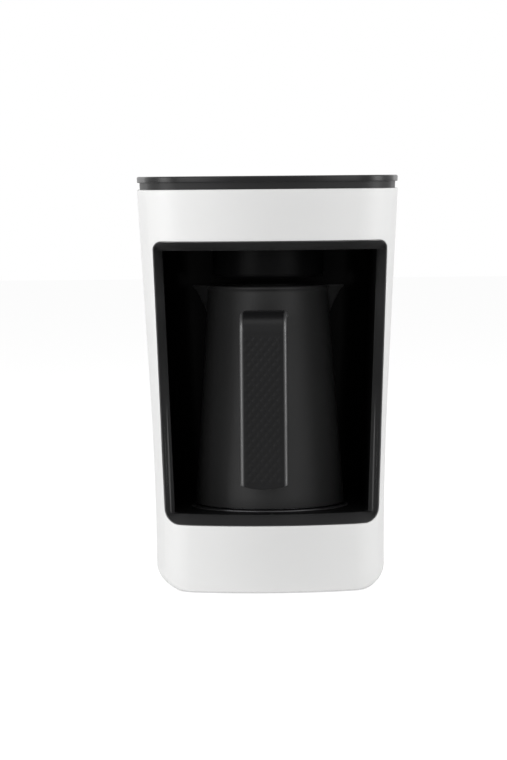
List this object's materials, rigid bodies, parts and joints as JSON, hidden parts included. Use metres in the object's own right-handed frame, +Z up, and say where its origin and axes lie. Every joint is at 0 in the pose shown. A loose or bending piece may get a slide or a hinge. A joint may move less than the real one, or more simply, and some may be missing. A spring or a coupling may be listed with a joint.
{
  "type": "electric turkish coffee maker",
  "caption": "Tapered white countertop coffee maker with a black lid, an open heated bay and a removable black conical pot with a long upright handle.",
  "frame": {"origin": "on the table, under the middle of the machine's footprint", "axes": "+Z up, the open front and the pot's handle face -Y, +X to the right seen from the front"},
  "size_m": [0.16, 0.19, 0.248],
  "materials": {
    "white_shell": "moulded ABS, satin gloss",
    "black_liner": "moulded heat-proof plastic, fine satin",
    "black_lid": "moulded plastic, gloss",
    "black_band": "moulded plastic, satin",
    "base_black": "moulded plastic, fine grain",
    "pot_coating": "non-stick coating, satin",
    "pot_steel": "spun disc",
    "handle_plastic": "moulded plastic, satin",
    "grip_plastic": "moulded plastic, embossed",
    "plate_metal": "cast, dark coated",
    "seal_rubber": "silicone",
    "foot_rubber": "moulded",
    "screw_steel": "zinc plated",
    "sheet_steel": "pressed sheet",
    "spring_steel": "bright wire",
    "button_black": "moulded, satin",
    "lens_white": "translucent",
    "lens_dark": "infrared window",
    "board_green": "glass-fibre laminate",
    "part_black": "moulded",
    "part_blue": "moulded case",
    "core_steel": "laminated core",
    "can_aluminium": "sleeved can",
    "probe_steel": "polished cap"
  },
  "bodies": {
    "machine": {"outer_housing": "white_shell", "cavity_liner": "black_liner", "base_plate": "base_black", "rubber_feet": "foot_rubber", "base_screws": "screw_steel", "liner_screws": "screw_steel", "top_collar": "black_band", "collar_screws": "screw_steel", "top_cover": "black_lid", "button_spring": "spring_steel", "indicator_lenses": "lens_white", "control_board": "board_green", "start_switch": "part_black", "buzzer": "part_black", "control_screws": "screw_steel", "sensor_hood": "black_liner", "hood_screws": "screw_steel", "sensor_lens": "lens_dark", "sensor_board": "board_green", "hot_plate": "plate_metal", "plate_seal": "seal_rubber", "heater_dish": "sheet_steel", "dish_screws": "screw_steel", "heating_element": "sheet_steel", "thermostat": "part_black", "thermal_fuse": "sheet_steel", "probe_guide": "part_black", "probe_spring": "spring_steel", "power_board": "board_green", "power_board_screws": "screw_steel", "transformer": "core_steel", "heater_relay": "part_blue", "filter_capacitors": "can_aluminium", "terminal_block": "part_black", "inlet_gland": "base_black"},
    "pot": {"pot_body": "pot_coating", "pot_base_disc": "pot_steel", "handle_bracket": "sheet_steel", "handle_shell": "handle_plastic", "handle_grip": "grip_plastic", "handle_screws": "screw_steel"},
    "button": {"start_button": "button_black"},
    "probe": {"temperature_probe": "probe_steel"}
  },
  "joints": [
    {"name": "pot_pull_out", "type": "slide", "parent": "machine", "child": "pot", "axis": [0, -1, 0], "range_m": [0, 0.16]},
    {"name": "button_press", "type": "slide", "parent": "machine", "child": "button", "axis": [0, 0, -1], "range_m": [0, 0.0008], "stiffness_N_per_m": 1500, "springref_m": -0.0005, "deforming": ["button_spring"]},
    {"name": "probe_press", "type": "slide", "parent": "machine", "child": "probe", "axis": [0, 0, -1], "range_m": [0, 0.0015], "stiffness_N_per_m": 600, "springref_m": -0.001, "deforming": ["probe_spring"]}
  ]
}
